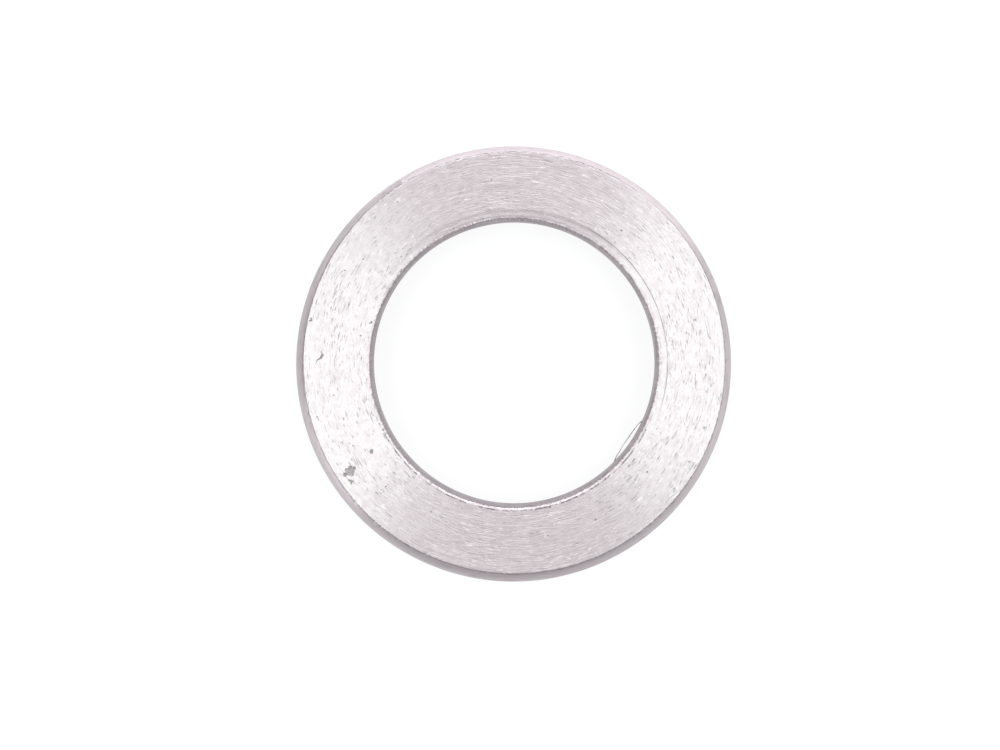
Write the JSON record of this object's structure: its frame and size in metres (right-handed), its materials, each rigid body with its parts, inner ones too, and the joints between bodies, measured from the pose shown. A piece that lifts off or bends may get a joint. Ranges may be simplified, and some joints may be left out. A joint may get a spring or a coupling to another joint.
{
  "type": "shim ring",
  "caption": "Flat turned steel shim ring with a round bore, a chamfered rim on the top face and a fine relief step beside the bore.",
  "frame": {"origin": "on the bore's axis, at the underside", "axes": "+Z along the bore's axis, out of the top face, whose rim is chamfered; X and Y lie in the underside"},
  "size_m": [0.038, 0.038, 0.003],
  "materials": {
    "turned_steel": "face-turned bare steel with fine concentric tool marks and a few small pits"
  },
  "bodies": {
    "root": {"shim_ring": "turned_steel"}
  },
  "joints": []
}
